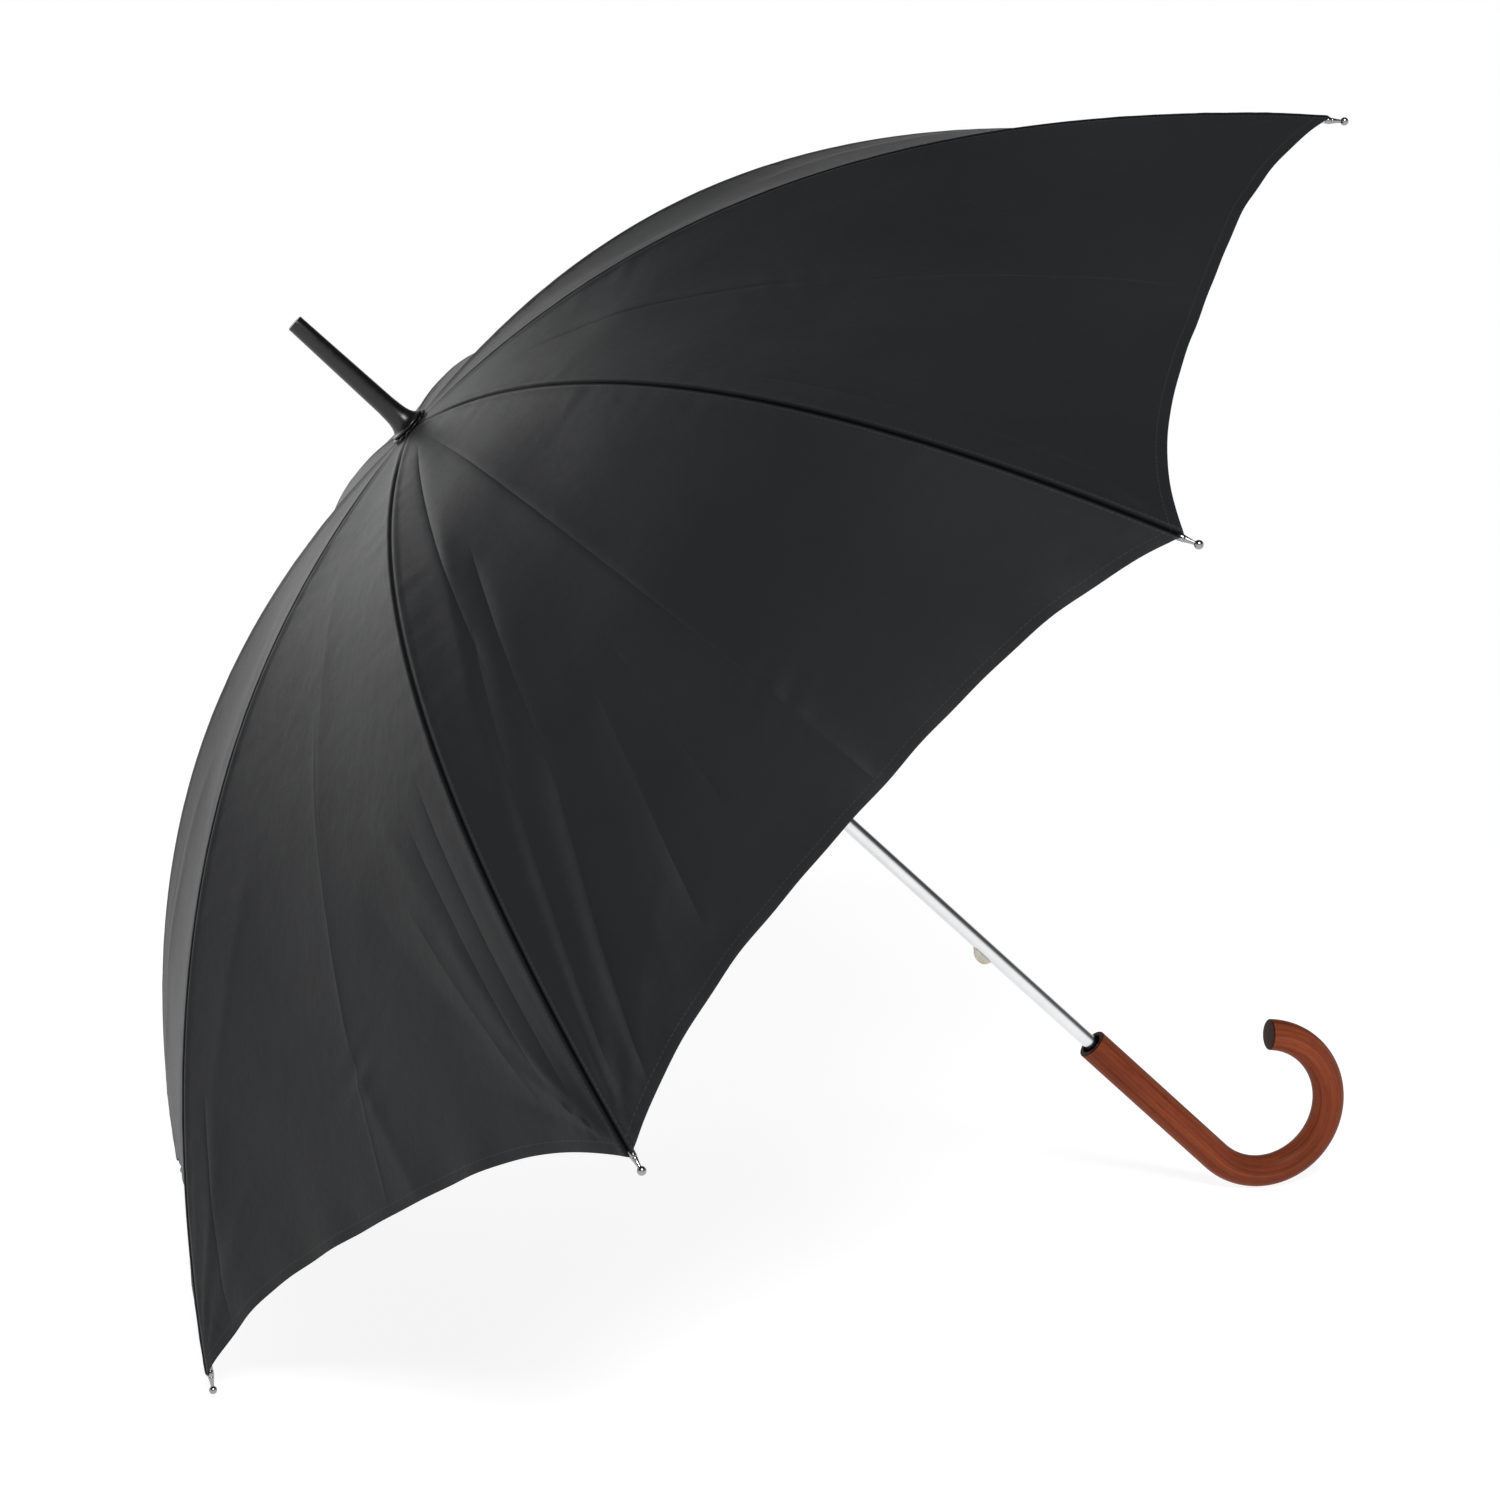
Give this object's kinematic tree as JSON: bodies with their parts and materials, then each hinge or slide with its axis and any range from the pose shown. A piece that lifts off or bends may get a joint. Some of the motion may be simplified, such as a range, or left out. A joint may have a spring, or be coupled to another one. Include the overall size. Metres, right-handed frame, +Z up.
{
  "type": "stick umbrella",
  "caption": "Open stick umbrella with a black fabric canopy on hinged ribs, a sliding runner with spring catches, a metal shaft and a wooden crook handle.",
  "frame": {"origin": "centre of the base of the object's box, on the floor that the open umbrella lies on", "axes": "+Z up; the shaft lies in the XZ plane and runs from the ferrule, up towards -X, down to the crook handle at +X; +Y runs across the canopy"},
  "size_m": [0.7646, 0.9476, 0.6935],
  "materials": {
    "polished_tube": "polished",
    "gloss_black": "gloss",
    "satin_black": "satin",
    "plated_steel": "plated",
    "bright_metal": "polished",
    "ivory_nylon": "satin",
    "handle_wood": "satin lacquer",
    "canopy_fabric": "fine woven, soft sheen"
  },
  "bodies": {
    "frame": {"shaft": "polished_tube", "ferrule": "gloss_black", "canopy_washer": "gloss_black", "top_notch": "satin_black", "notch_wire": "plated_steel", "runner_stop_pin": "plated_steel", "handle": "handle_wood", "canopy_panel_1": "canopy_fabric", "canopy_panel_2": "canopy_fabric", "canopy_panel_3": "canopy_fabric", "canopy_panel_4": "canopy_fabric", "canopy_panel_5": "canopy_fabric", "canopy_panel_6": "canopy_fabric", "canopy_panel_7": "canopy_fabric", "canopy_panel_8": "canopy_fabric", "tie_strap": "canopy_fabric", "tie_strap_snap": "bright_metal"},
    "runner": {"runner": "satin_black", "runner_wire": "plated_steel"},
    "top_catch": {"top_catch": "ivory_nylon"},
    "bottom_catch": {"bottom_catch": "ivory_nylon"},
    "rib_1_inner": {"rib_1_inner": "plated_steel"},
    "rib_1_outer": {"rib_1_outer": "plated_steel", "rib_1_tip": "bright_metal"},
    "stretcher_1": {"stretcher_1": "plated_steel"},
    "rib_2_inner": {"rib_2_inner": "plated_steel"},
    "rib_2_outer": {"rib_2_outer": "plated_steel", "rib_2_tip": "bright_metal"},
    "stretcher_2": {"stretcher_2": "plated_steel"},
    "rib_3_inner": {"rib_3_inner": "plated_steel"},
    "rib_3_outer": {"rib_3_outer": "plated_steel", "rib_3_tip": "bright_metal"},
    "stretcher_3": {"stretcher_3": "plated_steel"},
    "rib_4_inner": {"rib_4_inner": "plated_steel"},
    "rib_4_outer": {"rib_4_outer": "plated_steel", "rib_4_tip": "bright_metal"},
    "stretcher_4": {"stretcher_4": "plated_steel"},
    "rib_5_inner": {"rib_5_inner": "plated_steel"},
    "rib_5_outer": {"rib_5_outer": "plated_steel", "rib_5_tip": "bright_metal"},
    "stretcher_5": {"stretcher_5": "plated_steel"},
    "rib_6_inner": {"rib_6_inner": "plated_steel"},
    "rib_6_outer": {"rib_6_outer": "plated_steel", "rib_6_tip": "bright_metal"},
    "stretcher_6": {"stretcher_6": "plated_steel"},
    "rib_7_inner": {"rib_7_inner": "plated_steel"},
    "rib_7_outer": {"rib_7_outer": "plated_steel", "rib_7_tip": "bright_metal"},
    "stretcher_7": {"stretcher_7": "plated_steel"},
    "rib_8_inner": {"rib_8_inner": "plated_steel"},
    "rib_8_outer": {"rib_8_outer": "plated_steel", "rib_8_tip": "bright_metal"},
    "stretcher_8": {"stretcher_8": "plated_steel"}
  },
  "joints": [
    {"name": "runner_slide", "type": "slide", "parent": "frame", "child": "runner", "axis": [0.7277, 0, -0.6859], "range_m": [0, 0.24709], "deforming": ["canopy_panel_1", "canopy_panel_2", "canopy_panel_3", "canopy_panel_4", "canopy_panel_5", "canopy_panel_6", "canopy_panel_7", "canopy_panel_8", "tie_strap", "tie_strap_snap"]},
    {"name": "top_catch_press", "type": "slide", "parent": "frame", "child": "top_catch", "axis": [0.6859, 0, 0.7277], "range_m": [0, 0.0045], "stiffness_N_per_m": 900},
    {"name": "bottom_catch_press", "type": "slide", "parent": "frame", "child": "bottom_catch", "axis": [0.6859, 0, 0.7277], "range_m": [0, 0.0045], "stiffness_N_per_m": 900},
    {"name": "rib_1_hinge", "type": "hinge", "parent": "frame", "child": "rib_1_inner", "pos_m": [-0.21905, 0.00306, 0.51597], "axis": [-0.2625, 0.9239, -0.2785], "range_deg": [0, 80.1]},
    {"name": "rib_1_flex", "type": "hinge", "parent": "rib_1_inner", "child": "rib_1_outer", "pos_m": [-0.07988, 0.0762, 0.62744], "axis": [-0.2625, 0.9239, -0.2785], "range_deg": [-24.88, 0]},
    {"name": "stretcher_1_hinge", "type": "hinge", "parent": "runner", "child": "stretcher_1", "pos_m": [-0.07261, 0.00364, 0.37983], "axis": [-0.2625, 0.9239, -0.2785], "range_deg": [-46.92, 0]},
    {"name": "rib_2_hinge", "type": "hinge", "parent": "frame", "child": "rib_2_inner", "pos_m": [-0.22202, 0.00739, 0.51282], "axis": [-0.6337, 0.3827, -0.6723], "range_deg": [0, 80.1]},
    {"name": "rib_2_flex", "type": "hinge", "parent": "rib_2_inner", "child": "rib_2_outer", "pos_m": [-0.1538, 0.18396, 0.54902], "axis": [-0.6337, 0.3827, -0.6723], "range_deg": [-24.88, 0]},
    {"name": "stretcher_2_hinge", "type": "hinge", "parent": "runner", "child": "stretcher_2", "pos_m": [-0.07614, 0.00878, 0.37609], "axis": [-0.6337, 0.3827, -0.6723], "range_deg": [-46.92, 0]},
    {"name": "rib_3_hinge", "type": "hinge", "parent": "frame", "child": "rib_3_inner", "pos_m": [-0.22622, 0.00739, 0.50836], "axis": [-0.6337, -0.3827, -0.6723], "range_deg": [0, 80.1]},
    {"name": "rib_3_flex", "type": "hinge", "parent": "rib_3_inner", "child": "rib_3_outer", "pos_m": [-0.25834, 0.18396, 0.43812], "axis": [-0.6337, -0.3827, -0.6723], "range_deg": [-24.88, 0]},
    {"name": "stretcher_3_hinge", "type": "hinge", "parent": "runner", "child": "stretcher_3", "pos_m": [-0.08113, 0.00878, 0.3708], "axis": [-0.6337, -0.3827, -0.6723], "range_deg": [-46.92, 0]},
    {"name": "rib_4_hinge", "type": "hinge", "parent": "frame", "child": "rib_4_inner", "pos_m": [-0.22919, 0.00306, 0.50521], "axis": [-0.2625, -0.9239, -0.2785], "range_deg": [0, 80.1]},
    {"name": "rib_4_flex", "type": "hinge", "parent": "rib_4_inner", "child": "rib_4_outer", "pos_m": [-0.33226, 0.0762, 0.3597], "axis": [-0.2625, -0.9239, -0.2785], "range_deg": [-24.88, 0]},
    {"name": "stretcher_4_hinge", "type": "hinge", "parent": "runner", "child": "stretcher_4", "pos_m": [-0.08465, 0.00364, 0.36706], "axis": [-0.2625, -0.9239, -0.2785], "range_deg": [-46.92, 0]},
    {"name": "rib_5_hinge", "type": "hinge", "parent": "frame", "child": "rib_5_inner", "pos_m": [-0.22919, -0.00306, 0.50521], "axis": [0.2625, -0.9239, 0.2785], "range_deg": [0, 80.1]},
    {"name": "rib_5_flex", "type": "hinge", "parent": "rib_5_inner", "child": "rib_5_outer", "pos_m": [-0.33226, -0.0762, 0.3597], "axis": [0.2625, -0.9239, 0.2785], "range_deg": [-24.88, 0]},
    {"name": "stretcher_5_hinge", "type": "hinge", "parent": "runner", "child": "stretcher_5", "pos_m": [-0.08465, -0.00364, 0.36706], "axis": [0.2625, -0.9239, 0.2785], "range_deg": [-46.92, 0]},
    {"name": "rib_6_hinge", "type": "hinge", "parent": "frame", "child": "rib_6_inner", "pos_m": [-0.22622, -0.00739, 0.50836], "axis": [0.6337, -0.3827, 0.6723], "range_deg": [0, 80.1]},
    {"name": "rib_6_flex", "type": "hinge", "parent": "rib_6_inner", "child": "rib_6_outer", "pos_m": [-0.25834, -0.18396, 0.43812], "axis": [0.6337, -0.3827, 0.6723], "range_deg": [-24.88, 0]},
    {"name": "stretcher_6_hinge", "type": "hinge", "parent": "runner", "child": "stretcher_6", "pos_m": [-0.08113, -0.00878, 0.3708], "axis": [0.6337, -0.3827, 0.6723], "range_deg": [-46.92, 0]},
    {"name": "rib_7_hinge", "type": "hinge", "parent": "frame", "child": "rib_7_inner", "pos_m": [-0.22202, -0.00739, 0.51282], "axis": [0.6337, 0.3827, 0.6723], "range_deg": [0, 80.1]},
    {"name": "rib_7_flex", "type": "hinge", "parent": "rib_7_inner", "child": "rib_7_outer", "pos_m": [-0.1538, -0.18396, 0.54902], "axis": [0.6337, 0.3827, 0.6723], "range_deg": [-24.88, 0]},
    {"name": "stretcher_7_hinge", "type": "hinge", "parent": "runner", "child": "stretcher_7", "pos_m": [-0.07614, -0.00878, 0.37609], "axis": [0.6337, 0.3827, 0.6723], "range_deg": [-46.92, 0]},
    {"name": "rib_8_hinge", "type": "hinge", "parent": "frame", "child": "rib_8_inner", "pos_m": [-0.21905, -0.00306, 0.51597], "axis": [0.2625, 0.9239, 0.2785], "range_deg": [0, 80.1]},
    {"name": "rib_8_flex", "type": "hinge", "parent": "rib_8_inner", "child": "rib_8_outer", "pos_m": [-0.07988, -0.0762, 0.62744], "axis": [0.2625, 0.9239, 0.2785], "range_deg": [-24.88, 0]},
    {"name": "stretcher_8_hinge", "type": "hinge", "parent": "runner", "child": "stretcher_8", "pos_m": [-0.07261, -0.00364, 0.37983], "axis": [0.2625, 0.9239, 0.2785], "range_deg": [-46.92, 0]}
  ],
  "couplings": [
    {"joint": "rib_1_hinge", "follows": "runner_slide", "rad_per_m": 5.6562},
    {"joint": "rib_1_flex", "follows": "runner_slide", "rad_per_m": -1.7561},
    {"joint": "stretcher_1_hinge", "follows": "runner_slide", "rad_per_m": -3.3131},
    {"joint": "rib_2_hinge", "follows": "runner_slide", "rad_per_m": 5.6562},
    {"joint": "rib_2_flex", "follows": "runner_slide", "rad_per_m": -1.7561},
    {"joint": "stretcher_2_hinge", "follows": "runner_slide", "rad_per_m": -3.3131},
    {"joint": "rib_3_hinge", "follows": "runner_slide", "rad_per_m": 5.6562},
    {"joint": "rib_3_flex", "follows": "runner_slide", "rad_per_m": -1.7561},
    {"joint": "stretcher_3_hinge", "follows": "runner_slide", "rad_per_m": -3.3131},
    {"joint": "rib_4_hinge", "follows": "runner_slide", "rad_per_m": 5.6562},
    {"joint": "rib_4_flex", "follows": "runner_slide", "rad_per_m": -1.7561},
    {"joint": "stretcher_4_hinge", "follows": "runner_slide", "rad_per_m": -3.3131},
    {"joint": "rib_5_hinge", "follows": "runner_slide", "rad_per_m": 5.6562},
    {"joint": "rib_5_flex", "follows": "runner_slide", "rad_per_m": -1.7561},
    {"joint": "stretcher_5_hinge", "follows": "runner_slide", "rad_per_m": -3.3131},
    {"joint": "rib_6_hinge", "follows": "runner_slide", "rad_per_m": 5.6562},
    {"joint": "rib_6_flex", "follows": "runner_slide", "rad_per_m": -1.7561},
    {"joint": "stretcher_6_hinge", "follows": "runner_slide", "rad_per_m": -3.3131},
    {"joint": "rib_7_hinge", "follows": "runner_slide", "rad_per_m": 5.6562},
    {"joint": "rib_7_flex", "follows": "runner_slide", "rad_per_m": -1.7561},
    {"joint": "stretcher_7_hinge", "follows": "runner_slide", "rad_per_m": -3.3131},
    {"joint": "rib_8_hinge", "follows": "runner_slide", "rad_per_m": 5.6562},
    {"joint": "rib_8_flex", "follows": "runner_slide", "rad_per_m": -1.7561},
    {"joint": "stretcher_8_hinge", "follows": "runner_slide", "rad_per_m": -3.3131}
  ]
}
